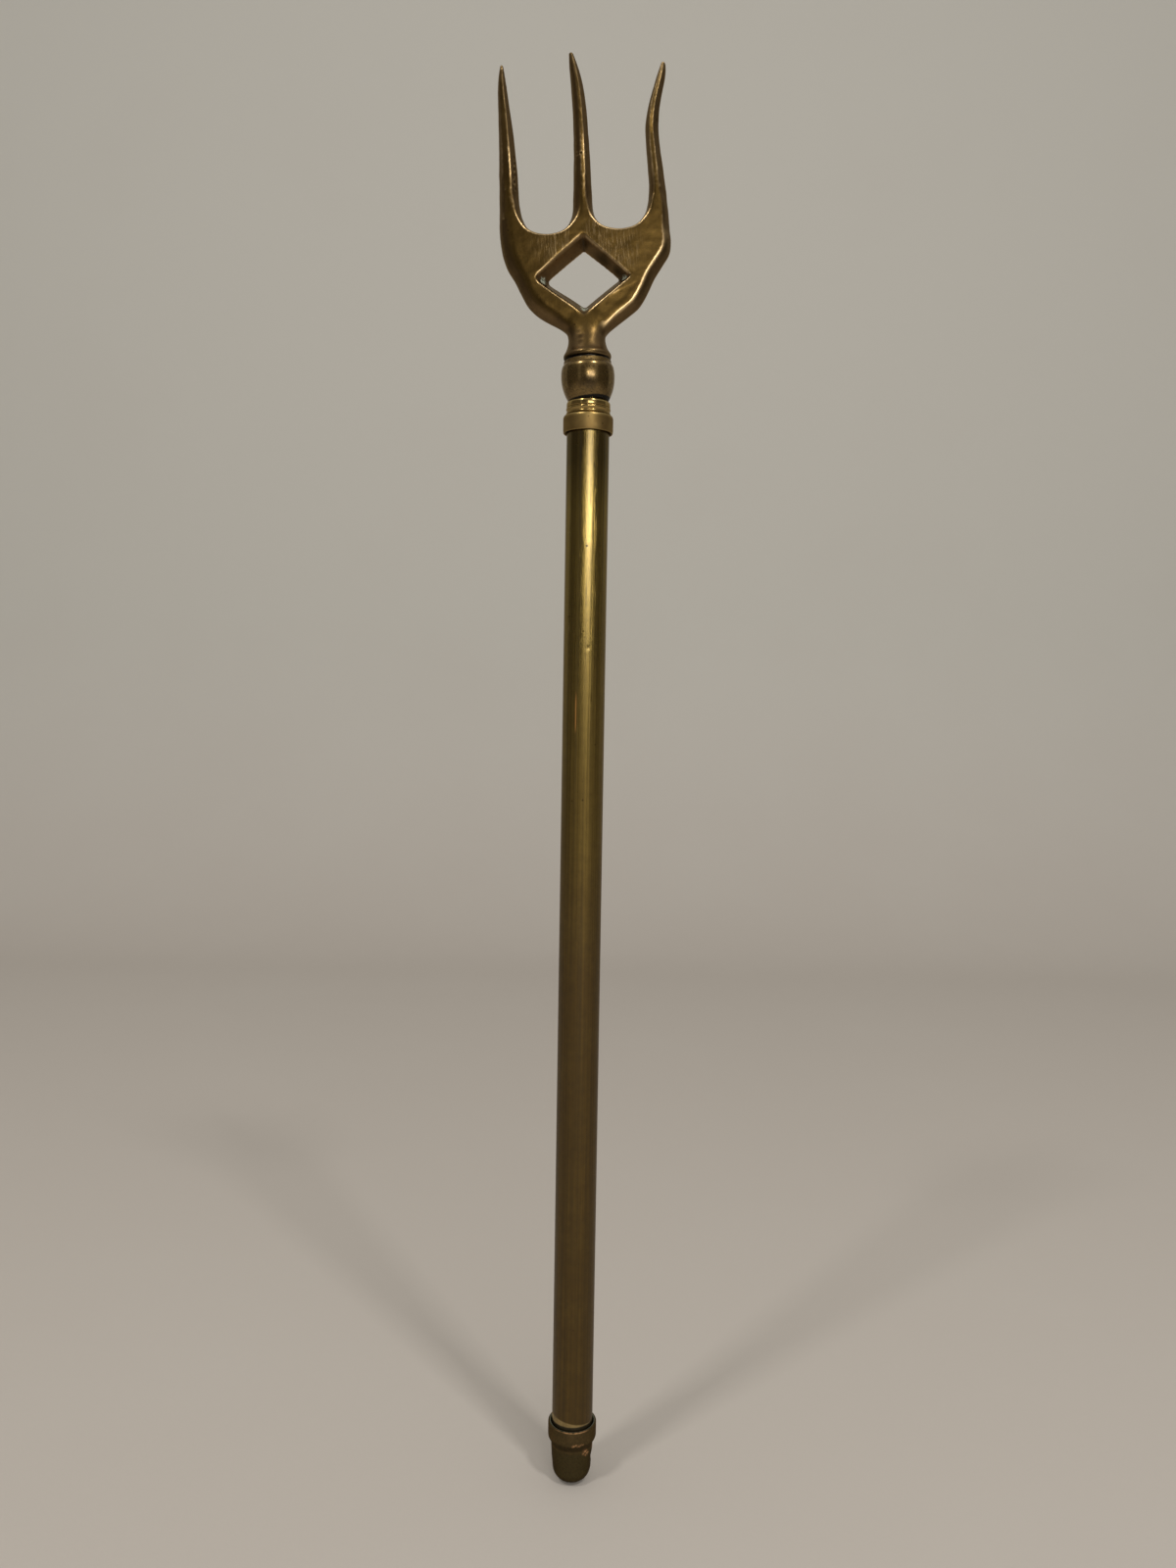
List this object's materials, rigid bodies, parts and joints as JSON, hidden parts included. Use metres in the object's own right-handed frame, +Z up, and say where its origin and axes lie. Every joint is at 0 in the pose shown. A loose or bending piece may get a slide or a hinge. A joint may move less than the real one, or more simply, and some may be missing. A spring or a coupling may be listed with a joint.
{
  "type": "telescopic toasting fork",
  "caption": "Brass toasting fork with a pierced cast head on a sliding inner tube, drawn out of a plain tube handle with a ferrule and a domed end cap.",
  "frame": {"origin": "lowest point of the foot, on the axis of the handle tube", "axes": "+Z up along the handle towards the tines, the palm of the fork faces -Y, the bent right tine is on +X"},
  "size_m": [0.051, 0.0158, 0.4306],
  "materials": {
    "drawn_brass": "drawn tube, glossy above and dull brown below, with fine lengthwise streaks",
    "turned_brass": "turned, polished high spots and dark grooves",
    "dark_brass": "dull olive brown tarnish with worn edges and a bare scar",
    "spring_brass": "hard rolled strip, plain",
    "inner_brass": "drawn tube, brighter where the handle covers it, with rubbed lines",
    "steel": "plain steel, dull",
    "knop_brass": "turned, mottled brown patina with speckle",
    "cast_brass": "cast and filed, brown patina, bright worn edges and green traces in the corners of the piercing"
  },
  "bodies": {
    "handle": {"handle_tube": "drawn_brass", "top_ferrule": "turned_brass", "end_cap": "dark_brass"},
    "drag": {"drag_spring": "spring_brass"},
    "fork": {"inner_tube": "inner_brass", "stop_bush": "turned_brass", "stop_pin": "steel", "neck_plug": "turned_brass", "head_stud": "steel", "ball_knop": "knop_brass", "fork_head": "cast_brass"}
  },
  "joints": [
    {"name": "draw", "type": "slide", "parent": "handle", "child": "drag", "axis": [0, 0, 1], "range_m": [0, 0.255]},
    {"name": "turn", "type": "hinge", "parent": "drag", "child": "fork", "pos_m": [0, 0, 0.0676], "axis": [0, 0, 1], "continuous": true}
  ]
}
